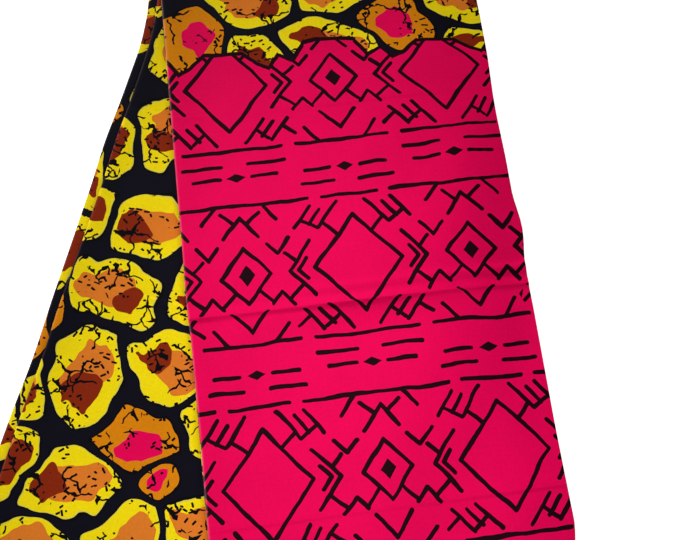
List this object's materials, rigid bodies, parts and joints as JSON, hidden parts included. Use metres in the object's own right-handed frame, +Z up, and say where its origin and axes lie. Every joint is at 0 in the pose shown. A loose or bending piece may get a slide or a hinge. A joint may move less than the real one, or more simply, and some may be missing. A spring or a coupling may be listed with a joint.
{
  "type": "folded wax print fabric",
  "caption": "Length of wax print cotton folded to a strip, stacked and folded over its middle, laid as two legs spreading from one turn.",
  "frame": {"origin": "middle of the footprint, on the surface that the cloth lies on", "axes": "+Y towards the turn at the top of the two legs, +X to the right, towards the front leg's lower end, +Z up"},
  "size_m": [0.5216, 0.7147, 0.0171],
  "materials": {
    "magenta_print": "plain-woven cotton with a soft wax finish, magenta ground with black line work",
    "pebble_print": "plain-woven cotton with a soft wax finish, dark ground with yellow, ochre, orange and brown pebbles"
  },
  "bodies": {
    "root": {"front_leg_face": "magenta_print", "front_leg_underside": "magenta_print", "top_turn": "pebble_print", "back_leg_underside": "pebble_print", "back_leg_lower_band": "pebble_print", "back_leg_face": "pebble_print", "hidden_layers": "pebble_print"}
  },
  "joints": []
}
